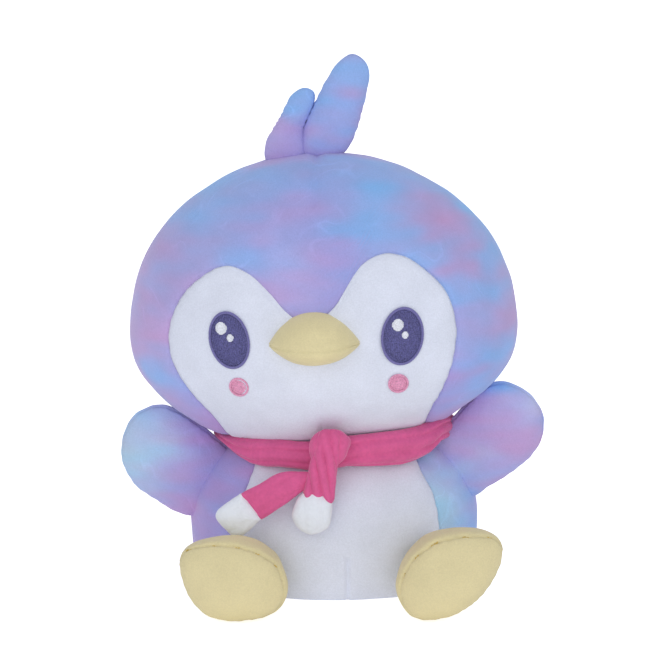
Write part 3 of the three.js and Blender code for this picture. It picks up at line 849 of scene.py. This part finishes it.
# %% The toes' seam and its gathers
def toe_seam(inner):
    """The seam comes forward over the toes and on the inner side, and meets the rim elsewhere."""
    def polar(turn):
        top = np.clip(np.sin(turn + 0.35 * math.cos(inner)), 0, 1)
        inside = np.clip(np.cos(turn - inner), 0, 1)
        return 88 - 20 * np.maximum(top, 0.75 * inside) ** 0.7
    return polar


def toe_gathers(bm, from_seam, turn, places):
    """Pulls the seam in where the toes were gathered, and lays a few tight stitches in each dimple."""
    bm.verts.ensure_lookup_table()
    points = coordinates(bm)
    near = np.abs(from_seam)
    stitches = bmesh.new()
    for degrees, length in places:
        along = np.abs((turn - math.radians(degrees) + math.pi) % (2 * math.pi) - math.pi)
        middle = points[np.argmin(near / 3 + along * 20)]
        away = np.linalg.norm(points - middle, axis=1)
        points[:, 1] += 0.9 * np.exp(-((away / 2.6) ** 2))
        beside = points[np.argmin(near / 3 + np.abs(along - 0.06) * 20)]
        run = Vector(beside - middle).normalized()
        for i in range(length):
            at = Vector(middle) + run * (i - (length - 1) / 2) * 1.3 + Vector((0, -0.3, 0))
            turned = Matrix.Rotation(math.atan2(run.z, run.x) + 0.5, 4, Vector((0, -1, 0)))
            grain_size = Matrix.Diagonal((0.9, 0.45, 0.38, 1))
            bmesh.ops.create_uvsphere(
                stitches, u_segments=8, v_segments=6, radius=1,
                matrix=Matrix.Translation(at) @ turned @ grain_size,
            )
    move_to(bm, points)
    return stitches


# %% [markdown]
# Each foot is drawn, filled, leaned and set on the floor. Whatever would sink below the floor is lifted to
# it.

# %% Both feet
for name, foot in FEET.items():
    bm, from_seam, turn = pillow(
        foot["outline"], foot["middle"], FOOT_SOLE, FOOT_UPPER, seam=toe_seam(foot["inner"]),
        heel=foot["heel"], taper=1.25,
    )
    sew_and_fill(
        bm, from_seam, turn, seed=30 + foot["middle"][0], depth=1.3, width=1.0, puckers=26, pucker_depth=0.42,
        pucker_reach=1.8,
    )
    lean = Matrix.Translation((0, foot_forward, 0.4)) @ Matrix.Rotation(FOOT_LEAN, 4, "X")
    bmesh.ops.scale(bm, verts=bm.verts, vec=(1, 1, FOOT_PRESS))
    gathers = toe_gathers(bm, from_seam, turn, foot["gathers"])
    place_mm(bm, lean)
    place_mm(gathers, lean)
    for vert in bm.verts:
        vert.co.z = max(vert.co.z, FLOOR_GAP)
    nodes = [f"foot_{name}_{part}" for part in ("sole", "upper", "filling")]
    piece = finish_piece(f"foot_{name}_skin", bm, cream_pile, nodes)
    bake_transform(piece)
    seam_thread = finish_piece(f"foot_{name}_gathers", gathers, gold_thread, [])
    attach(seam_thread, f"foot_{name}")
    print(name, "foot", [round(v / MM, 1) for v in piece.dimensions], "mm")

# %% [markdown]
# ## Head tufts
# Two leaf-shaped tufts stand side by side on the crown and lean the same way.

# %% The two tufts
# outlines in head measures: sideways and up from the head's middle (mm)
TUFTS = {
    "large": {
        "middle": (8, 98),
        "thick": 7.5,
        "outline": [
            (18.6, 126), (25.3, 119.5), (24.5, 109), (21.5, 99), (18.5, 90), (13, 80), (3, 76), (-7, 79),
            (-6.2, 92), (0, 104.7), (4.8, 114), (12, 123),
        ],
    },
    "small": {
        "middle": (-13, 93),
        "thick": 6,
        "outline": [
            (-5.5, 110.8), (-11, 108), (-17.2, 98.3), (-21.8, 90.7), (-25, 84), (-24, 75), (-15, 73),
            (-6, 78), (-5.6, 92), (-1, 103), (-1, 109),
        ],
    },
}
for name, tuft in TUFTS.items():
    bm, from_seam, turn = pillow(tuft["outline"], tuft["middle"], tuft["thick"], tuft["thick"], seam=84)
    sew_and_fill(
        bm, from_seam, turn, seed=40 + tuft["thick"], depth=0.7, width=1.2, puckers=18, pucker_depth=0.25,
        lump=0.5,
    )
    place_mm(bm)
    bm.transform(head_place)
    nodes = [f"tuft_{name}_{part}" for part in ("front_panel", "back_panel", "filling")]
    piece = finish_piece(f"tuft_{name}_skin", bm, dyed_pile, nodes, dyed=True)
    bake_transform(piece)
    print(name, "tuft", [round(v / MM, 1) for v in piece.dimensions], "mm")


# %% [markdown]
# ## The beak
# The beak is two cream panels that meet in a level seam and come to a soft corner at each side. The upper one
# is fuller. Its back is sewn to the face.

# %% Beak
# half its width, height above and below the seam, the seam's level, and how far it reaches from its root (mm)
BEAK = {"width": 20.8, "above": 15.6, "below": 9, "seam": -0.4, "reach": 22, "root": 66, "round": 13}
bm = bmesh.new()
bmesh.ops.create_uvsphere(bm, u_segments=112, v_segments=64, radius=1)
ball = coordinates(bm)
side = np.abs(ball[:, 0])
level = (1 - side**2) ** 0.38  # thinner towards the corners, which end in points
z = np.where(ball[:, 2] > 0, BEAK["above"], BEAK["below"]) * ball[:, 2] * level
bend = 0.9 * (1 - side**2)  # the seam dips in the middle
x = BEAK["width"] * np.sign(ball[:, 0]) * side**0.94
y = -BEAK["root"] + BEAK["reach"] * ball[:, 1] * (1 - 0.1 * side)
move_to(bm, np.stack([x, y, z + BEAK["seam"] - bend], 1))
beak_seam = BEAK["round"] * np.arcsin(np.clip(ball[:, 2], -1, 1))
beak_turn = np.arctan2(ball[:, 1], ball[:, 0])
sew_and_fill(bm, beak_seam, beak_turn, seed=50, depth=0.5, width=0.7, puckers=16, pucker_depth=0.12, lump=0.4)
place_mm(bm)
bm.transform(head_place)
beak = finish_piece("beak_skin", bm, cream_pile, ["beak_upper", "beak_lower", "beak_filling"])
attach(beak, "head")
print("beak", [round(v / MM, 1) for v in beak.dimensions], "mm")

# %% [markdown]
# ## Embroidery
# The eyes and cheeks are sewn with thread on the face. Stitches that are only coloured on look flat, so
# each stitch is a small grain of thread: rows of upright stitches fill the eye, and short ones laid across
# make its raised outline. The patches follow the face's curve.

# %% Stitches laid on the face
def on_face(x, z, lift):
    """A point in head measures (mm), lifted off the face by so many mm, with the face's normal there."""
    flat = np.array([[x * MM, z * MM]])
    place = egg_point(head_egg, front_direction(head_egg, flat))
    normal = egg_normal(head_egg, place)
    return Vector((place + normal * lift * MM)[0]), Vector(normal[0])


def stitch(bm, start, end, radius, lift):
    """One stitch between two places on the face: a grain of thread, a few dozen faces."""
    a, out = on_face(*start, lift)
    b, _ = on_face(*end, lift)
    along = b - a
    across = along.cross(out).normalized()
    turn = Matrix((across, out.normalized(), along.normalized())).transposed().to_4x4()
    size = Matrix.Diagonal((radius * MM, 0.8 * radius * MM, along.length / 2, 1))
    bmesh.ops.create_uvsphere(
        bm, u_segments=6, v_segments=5, radius=1, matrix=Matrix.Translation((a + b) / 2) @ turn @ size
    )


def tilted(middle, x, z, tilt):
    """A point x and z from a middle, turned about it by tilt, in head measures."""
    across = middle[0] + x * math.cos(tilt) - z * math.sin(tilt)
    up = middle[1] + x * math.sin(tilt) + z * math.cos(tilt)
    return across, up


# %% [markdown]
# Three kinds of needlework make a patch. Satin stitches lie side by side across an edge, and stand highest.
# Rows of longer stitches fill an area. Under both lies a flat layer of thread that hides the pile.

# %% Satin edge, filling rows and underlay
def oval_point(middle, half, tilt, turn):
    """A point on a tilted oval, in head measures."""
    return tilted(middle, half[0] * math.cos(turn), half[1] * math.sin(turn), tilt)


def satin_ring(bm, middle, half, tilt, width, lift, pitch=0.5, radius=0.32):
    """Stitches laid across an oval's edge."""
    around = 2 * math.pi * math.hypot(*half) / math.sqrt(2)
    count = int(around / pitch)
    for i in range(count):
        turn = 2 * math.pi * i / count
        inner = (half[0] - width, half[1] - width)
        slant = turn + 0.05
        stitch(bm, oval_point(middle, inner, tilt, turn), oval_point(middle, half, tilt, slant), radius, lift)


OVERLAP = 0.15  # how far one stitch starts under the last (mm)
SHORTEST = 0.2  # no stitch is shorter than this


def filled_oval(bm, middle, half, tilt, lift, pitch=0.78, length=2.4, radius=0.37, level=False):
    """Rows of stitches inside an oval, each row shifted from the last like bricks; level lays them
    sideways."""
    span_half, run_half = (half[1], half[0]) if level else half
    rows = max(1, int(2 * span_half / pitch))
    for row in range(rows):
        across = -span_half + (row + 0.5) * 2 * span_half / rows
        reach = run_half * math.sqrt(max(0, 1 - (across / span_half) ** 2))
        start = -reach
        first = length * (0.4 + 0.6 * ((row * 0.37) % 1))
        while start < reach - SHORTEST:
            end = min(start + first, reach)
            pair = [
                tilted(middle, run, across, tilt) if level else tilted(middle, across, run, tilt)
                for run in (start, end)
            ]
            stitch(bm, pair[0], pair[1], radius, lift)
            start, first = end - OVERLAP, length


def underlay(bm, middle, half, tilt, lift=0.1, thick=0.45):
    """The flat first layer of thread, which hides the white pile between the stitches."""
    ball = bmesh.new()
    bmesh.ops.create_uvsphere(ball, u_segments=48, v_segments=20, radius=1)
    bmesh.ops.rotate(ball, verts=ball.verts, cent=(0, 0, 0), matrix=Matrix.Rotation(math.radians(90), 3, "X"))
    for vert in ball.verts:
        across, up = tilted(middle, half[0] * vert.co.x, half[1] * vert.co.z, tilt)
        vert.co, _ = on_face(across, up, lift - thick * vert.co.y)
    layer = bpy.data.meshes.new("underlay")
    ball.to_mesh(layer)
    ball.free()
    bm.from_mesh(layer)
    bpy.data.meshes.remove(layer)


# %% [markdown]
# Each eye is a tilted oval with a raised edge, and two light spots that lie on top of its rows. The cheeks
# are small rounds. All of it rides the head, because thread sewn to the face goes where the face goes.

# %% Eyes and cheeks
EYE_SIDE, EYE_HEIGHT = {"left": 38.5, "right": 39.2}, 1.4
EYE_HALF = (9.6, 13.2)
EYE_RING = 1.3
EYE_TILT = {"left": math.radians(9), "right": math.radians(-6)}
EYE_LIGHTS = {
    "left": {"large": (-3.5, 5.4, 2.8), "small": (0.6, 1.2, 1.7)},
    "right": {"large": (-1.9, 5.3, 2.7), "small": (1.2, 0.6, 1.6)},
}
CHEEK_SIDE, CHEEK_HEIGHT, CHEEK_RADIUS = {"left": 35.2, "right": 36.8}, -20.4, 4.7


CHEEK_RING, CHEEK_INSET = 1.1, 1.4  # the raised edge's width, and where the rows inside it end


def sewn_patch(name, bm, material, node):
    """Lays a finished patch on the head, and ties it there."""
    bm.transform(head_place)
    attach(finish_piece(name, bm, material, [node]), "head")


for name, sign in (("left", -1), ("right", 1)):
    middle, tilt = (sign * EYE_SIDE[name], EYE_HEIGHT), EYE_TILT[name]
    bm = bmesh.new()
    satin_ring(bm, middle, EYE_HALF, tilt, EYE_RING, 0.75)
    sewn_patch(f"eye_{name}_edge", bm, outline_thread, f"eye_{name}_outline")
    bm = bmesh.new()
    inner = (EYE_HALF[0] - EYE_RING - 0.2, EYE_HALF[1] - EYE_RING - 0.2)
    underlay(bm, middle, (EYE_HALF[0] - 0.4, EYE_HALF[1] - 0.4), tilt)
    filled_oval(bm, middle, inner, tilt, 0.5)
    sewn_patch(f"eye_{name}_rows", bm, violet_thread, f"eye_{name}_fill")
    for size, (x, z, radius) in EYE_LIGHTS[name].items():
        bm = bmesh.new()
        spot = (middle[0] + x, middle[1] + z)
        underlay(bm, spot, (radius - 0.1, radius - 0.1), 0, lift=0.55)
        filled_oval(bm, spot, (radius, radius), 0, 1.0, pitch=0.5, length=9, radius=0.34, level=True)
        sewn_patch(f"eye_{name}_spot_{size}", bm, white_thread, f"eye_{name}_light_{size}")
    bm = bmesh.new()
    cheek = (sign * CHEEK_SIDE[name], CHEEK_HEIGHT)
    underlay(bm, cheek, (CHEEK_RADIUS - 0.4, CHEEK_RADIUS - 0.4), 0)
    inner = CHEEK_RADIUS - CHEEK_INSET
    filled_oval(bm, cheek, (inner, inner), 0, 0.45, pitch=0.6, length=2.2, radius=0.36)
    satin_ring(bm, cheek, (CHEEK_RADIUS, CHEEK_RADIUS), 0, CHEEK_RING, 0.6)
    sewn_patch(f"cheek_{name}_patch", bm, pink_thread, f"cheek_{name}")

# %% [markdown]
# ## The scarf
# One strip of fleece goes round the neck, folded along its length, and is knotted in front. The band sits in
# the crease between head and shoulders. Its free ends are the two tails, each with a white tip sewn on.

# %% Scarf band
band_low, band_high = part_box("scarf_band")
BAND_THICK = 6
BAND_HALF = (
    (band_high.x - band_low.x) / 2 / MM - BAND_THICK,
    (band_high.y - band_low.y) / 2 / MM - BAND_THICK,
)
# degrees round from the front (the viewer's left is negative), and the band's lower and upper edge there (mm)
BAND_EDGES = [
    (-180, 65, 76), (-110, 66, 74), (-75, 67.5, 71.5), (-66, 66.5, 72.1), (-54, 63, 72.9), (-45, 61, 73.3),
    (-37, 60.6, 74), (-29, 61.4, 74.5), (-19, 61.4, 74), (-8, 60.5, 74.5), (6, 63, 77.2), (15, 62.6, 77.8),
    (25, 62.2, 78.2), (35, 61.8, 78.2), (44, 62.8, 78.4), (52, 64.2, 79), (62, 68.5, 80), (80, 68, 79),
    (120, 66, 77), (180, 65, 76),
]


def folded(run, ridges, drift=0.0):
    """Rounded folds with narrow creases between them, from -0.5 to 0.5; run goes from -1 to 1 across."""
    return np.abs(np.cos(math.pi / 2 * ridges * run + drift)) ** 0.7 - 0.5


def scarf_band():
    """A ring swept round the neck; folds run along it."""
    bm = bmesh.new()
    bmesh.ops.create_circle(bm, cap_ends=False, segments=56, radius=1)
    bmesh.ops.rotate(bm, verts=bm.verts, cent=(0, 0, 0), matrix=Matrix.Rotation(math.radians(90), 3, "X"))
    bmesh.ops.translate(bm, verts=bm.verts, vec=(10, 0, 0))
    bmesh.ops.spin(
        bm, geom=bm.verts[:] + bm.edges[:], cent=(0, 0, 0), axis=(0, 0, 1), angle=2 * math.pi, steps=240,
        use_merge=True,
    )
    places = coordinates(bm)
    turn = np.arctan2(places[:, 1], places[:, 0])
    thick = np.hypot(places[:, 0], places[:, 1]) - 10
    tall = places[:, 2]
    side = np.degrees(np.arctan2(np.cos(turn), -np.sin(turn)))
    edges = np.array(BAND_EDGES)
    lower, upper = (np.interp(side, edges[:, 0], edges[:, column]) for column in (1, 2))
    drift = 0.9 * np.sin(2 * turn + 0.4) + 0.3 * np.sin(7 * turn)
    folds = 1.7 * folded(tall, 3, drift) * np.clip(thick, 0, 1)
    outwards = 4.6 * thick + folds + 0.25 * np.sin(5 * turn + 2 * tall)
    x = (BAND_HALF[0] - 1 + outwards) * np.cos(turn)
    y = (BAND_HALF[1] + 0.5 - 4 * np.clip(np.sin(turn), 0, 1) + outwards) * np.sin(turn)
    z = (lower + upper) / 2 + (upper - lower) / 2 * np.sign(tall) * np.abs(tall) ** 0.8
    move_to(bm, np.stack([x, y, z], 1))
    return place_mm(bm)


band = finish_piece("scarf_neck_band", scarf_band(), scarf_fleece, ["scarf_band"])
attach(band, "torso")
print("band", [round(v / MM, 1) for v in band.dimensions], "mm")

# %% [markdown]
# The knot is the strip's own loop, brought over the band and drawn tight. One end comes up behind the loop,
# over its top and down the front, where it hangs as a tail. The other end leaves the knot sideways. Each tail
# is a flat pad of double fleece with soft folds along it, and a fuller white end.

# %% A flat strip of fleece
def strip(outline, middle, front, rear, seed, across, width, ridges, fold_depth):
    """A flat double strip of fleece over an outline, in mm. Its folds run at right angles to across, and
    there are so many ridges in its width."""
    bm, _, _ = pillow(outline, middle, front, rear)
    places = coordinates(bm)
    run = (places[:, [0, 2]] - np.array(middle)) @ np.array(across) / (width / 2)
    bm.normal_update()
    normals = np.array([v.normal for v in bm.verts])
    facing = np.clip(-normals[:, 1], 0, 1)
    height = fold_depth * folded(run, ridges, 0.5 * lumps(places, 14, seed)) * facing
    height += 0.35 * lumps(places, 9, seed + 3) + 0.1 * lumps(places, 3, seed + 5)
    move_to(bm, places + normals * height[:, None])
    return bm


def hang(bm, depth):
    """Stands a strip up in the plane y = depth (mm)."""
    return place_mm(bm, Matrix.Translation((0, depth, 0)))


# %% Their outlines
tail_low, tail_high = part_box("scarf_tail_left")
TAIL_DEPTH = (tail_low.y + tail_high.y) / 2 / MM
LOOP = [
    (-11.6, 74.9), (-10.2, 79), (-7.1, 81.7), (-2.3, 82.9), (2.6, 82), (7.4, 77.6), (6.2, 73.1), (3.1, 67.7),
    (-3, 64), (-10, 68),
]
FRONT_STRIP = [
    (-6.7, 82.1), (-1.5, 83.4), (3, 81.8), (2.3, 74.4), (1.5, 66.3), (0.3, 56.4), (-0.8, 49.4), (-7, 50),
    (-14.4, 51), (-12.8, 60.9), (-10.4, 69.9), (-8, 76.2),
]
SIDE_STRIP = [
    (-8, 62), (-17, 63.2), (-25, 62.6), (-34, 57.6), (-43.6, 52), (-39, 46.5), (-34.2, 40.7), (-24, 47.3),
    (-14.3, 53.9), (-8, 57),
]
FRONT_END = [
    (-10.7, 55), (-5.4, 54.3), (-1.3, 49.8), (-1.6, 42.5), (-3.6, 37), (-10.7, 34.2), (-16.3, 36.8),
    (-19.4, 42.5), (-18, 48.9), (-15, 53),
]
SIDE_END = [
    (-42.2, 52.6), (-44.5, 51.8), (-49.4, 48.4), (-53.6, 44.7), (-54.2, 41), (-50.2, 36), (-45.5, 32.4),
    (-41.6, 33.6), (-35.2, 39.6), (-33.6, 41.6), (-37.6, 47),
]
ACROSS_SIDE = (0.51, -0.86)  # at right angles to the side tail's run
ACROSS_FRONT = (0.98, 0.2)
print("the tails hang", round(-TAIL_DEPTH, 1), "mm in front of the middle")

# %% [markdown]
# The loop rides the torso, as the band does. The front tail's top is part of the knot. The white ends ride
# with their tails.

# %% Knot and tails

loop = finish_piece(
    "scarf_knot_loop", hang(strip(LOOP, (-2, 74), 6, 6, 60, (1, 0), 18, 3, 1.0), TAIL_DEPTH + 0.5),
    scarf_fleece, ["scarf_knot"],
)
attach(loop, "torso")

front_strip = finish_piece(
    "scarf_front_strip",
    hang(strip(FRONT_STRIP, (-5.5, 64), 4.6, 3.4, 66, ACROSS_FRONT, 13, 3, 1.8), TAIL_DEPTH - 2.4),
    scarf_fleece, ["scarf_tail_middle"],
)
bend = Vector((-5, TAIL_DEPTH, 64)) * MM
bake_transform(front_strip)

side_strip = finish_piece(
    "scarf_side_strip", hang(strip(SIDE_STRIP, (-25, 54), 3.8, 3.2, 72, ACROSS_SIDE, 15, 2, 0.8), TAIL_DEPTH),
    scarf_fleece, ["scarf_tail_left"],
)
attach(side_strip, "scarf_tail_left")

for name, outline, middle, across, body in (
    ("front", FRONT_END, (-10, 45), (1, 0), "middle"),
    ("side", SIDE_END, (-44.5, 43), ACROSS_SIDE, "left"),
):
    depth = TAIL_DEPTH - (2 if name == "front" else 0)
    end = finish_piece(
        f"scarf_{name}_end", hang(strip(outline, middle, 5.2, 3.8, 80, across, 17, 2, 0.5), depth),
        tip_fleece, [f"scarf_tip_{body}"],
    )
    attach(end, f"scarf_tail_{body}")
print("front tail", [round(v / MM, 1) for v in front_strip.dimensions], "mm")
print("side tail", [round(v / MM, 1) for v in side_strip.dimensions], "mm")

# %% [markdown]
# ## The studio
# A pale sweep of paper and large soft lights: one wide key from the front left, a fill from the right, and a
# bright surround, so that pile and seams read without hard shadows.

# %% Paper sweep
PAPER_HALF, PAPER_BACK, PAPER_TALL, PAPER_BEND = 3, 1.6, 3, 0.9  # metres
bm = bmesh.new()
corners = ((-PAPER_HALF, -PAPER_HALF, 0), (-PAPER_HALF, PAPER_BACK, 0), (-PAPER_HALF, PAPER_BACK, PAPER_TALL))
profile = [bm.verts.new(place) for place in corners]
for first, second in zip(profile, profile[1:]):
    bm.edges.new((first, second))
swept = bmesh.ops.extrude_edge_only(bm, edges=bm.edges[:])["geom"]
moved = [g for g in swept if isinstance(g, bmesh.types.BMVert)]
bmesh.ops.translate(bm, verts=moved, vec=(2 * PAPER_HALF, 0, 0))
fold = [e for e in bm.edges if all(abs(v.co.y - PAPER_BACK) < 1e-6 and abs(v.co.z) < 1e-6 for v in e.verts)]
bmesh.ops.bevel(bm, geom=fold, offset=PAPER_BEND, segments=24, profile=0.5, affect="EDGES", material=-1)
sweep_mesh = bpy.data.meshes.new("paper_sweep")
bmesh.ops.recalc_face_normals(bm, faces=bm.faces)
bm.to_mesh(sweep_mesh)
bm.free()
for polygon in sweep_mesh.polygons:
    polygon.use_smooth = True
sweep = bpy.data.objects.new("paper_sweep", sweep_mesh)
bpy.context.scene.collection.objects.link(sweep)
print("paper", len(sweep_mesh.polygons), "faces")

# %% [markdown]
# White paper that is lit only by the lamps looks grey. A little light of its own keeps it evenly pale.
# Blender can tell whether a surface is looked at or only lights something, so the paper looks bright and
# still throws little light on the toy. The surround, further down, uses the same helper.

# %% The paper's finish
def seen_or_lighting(tree, lighting, seen, socket):
    """One brightness where the surface is looked at, and another where it lights things."""
    looked_at = add_node(tree, "ShaderNodeLightPath").outputs["Is Camera Ray"]
    tree.links.new(remap(tree, looked_at, 0, 1, lighting, seen), socket)


paper, paper_tree, paper_shader = new_material("pale_paper")
paper_shader.inputs["Base Color"].default_value = (0.93, 0.93, 0.94, 1)
paper_shader.inputs["Roughness"].default_value = 0.9
paper_shader.inputs["Emission Color"].default_value = (1, 1, 1, 1)
seen_or_lighting(paper_tree, 0.2, 0.7, paper_shader.inputs["Emission Strength"])
sweep_mesh.materials.append(paper)

# %% [markdown]
# The lamps are wide squares, so every shadow has a soft edge. The key stands a little to the left, the fill
# to the right, one is above, and a low one lights the belly and the feet, which the head would leave dark.

# %% Lights
def soft_light(name, place, size, watts, aim=(0, 0, 0.12)):
    """A square lamp that looks at a point of the toy."""
    data = bpy.data.lights.new(name, "AREA")
    data.shape = "SQUARE"
    data.size = size
    data.energy = watts
    lamp = bpy.data.objects.new(name, data)
    lamp.location = place
    lamp.rotation_euler = (Vector(aim) - Vector(place)).to_track_quat("-Z", "Y").to_euler()
    bpy.context.scene.collection.objects.link(lamp)


soft_light("key_light", (-0.5, -1.3, 0.8), 0.8, 2.5)
soft_light("low_light", (0, -1.2, 0.2), 0.6, 1.9, aim=(0, 0, 0.03))
soft_light("fill_light", (1.0, -1.1, 0.6), 1.0, 1.8)
soft_light("top_light", (0, -0.1, 1.5), 0.8, 2)
print("lamps", [lamp.name for lamp in bpy.data.lights])

# %% [markdown]
# The surround is a faintly blue, even light, as of a bright room. It fills every shadow a little. The
# standard view keeps pale colours as pale as they are on the cloth.

# %% The surround
world = bpy.data.worlds.new("studio_surround")
world.use_nodes = True
background = world.node_tree.nodes["Background"]
background.inputs["Color"].default_value = (0.92, 0.95, 1, 1)
seen_or_lighting(world.node_tree, 0.53, 1.0, background.inputs["Strength"])
bpy.context.scene.world = world
bpy.context.scene.view_settings.view_transform = "Standard"
print("surround", world.name)
